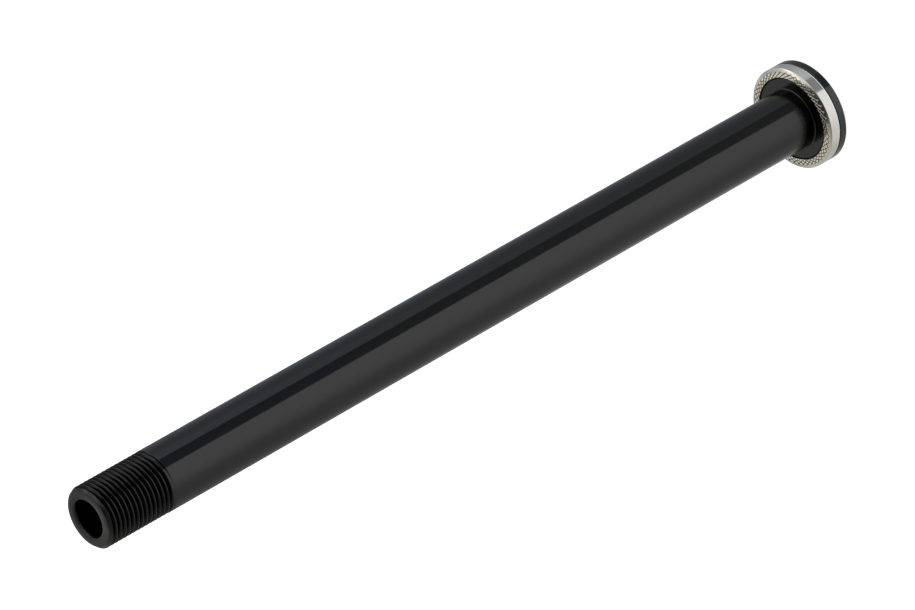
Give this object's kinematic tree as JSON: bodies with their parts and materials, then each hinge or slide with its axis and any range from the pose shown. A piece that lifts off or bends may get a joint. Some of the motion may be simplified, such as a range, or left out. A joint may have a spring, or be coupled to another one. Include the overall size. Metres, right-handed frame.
{
  "type": "bicycle thru axle",
  "caption": "Hollow black axle with a flanged head, a free-turning knurled steel ring against the flange, a long smooth shaft and a fine thread at the far end.",
  "frame": {"origin": "centre of the head's outer face, on the surface that the axle stands on", "axes": "+Z along the axle's own axis, from the head towards the threaded end"},
  "size_m": [0.0204, 0.0204, 0.18],
  "materials": {
    "black_anodised": "black anodised over a fine turned surface, semi-gloss",
    "stainless": "fine turned stainless steel"
  },
  "bodies": {
    "axle": {"axle": "black_anodised"},
    "ring": {"serrated_ring": "stainless"}
  },
  "joints": [
    {"name": "ring_spin", "type": "hinge", "parent": "axle", "child": "ring", "pos_m": [0, 0, 0.0032], "axis": [0, 0, 1], "continuous": true}
  ]
}
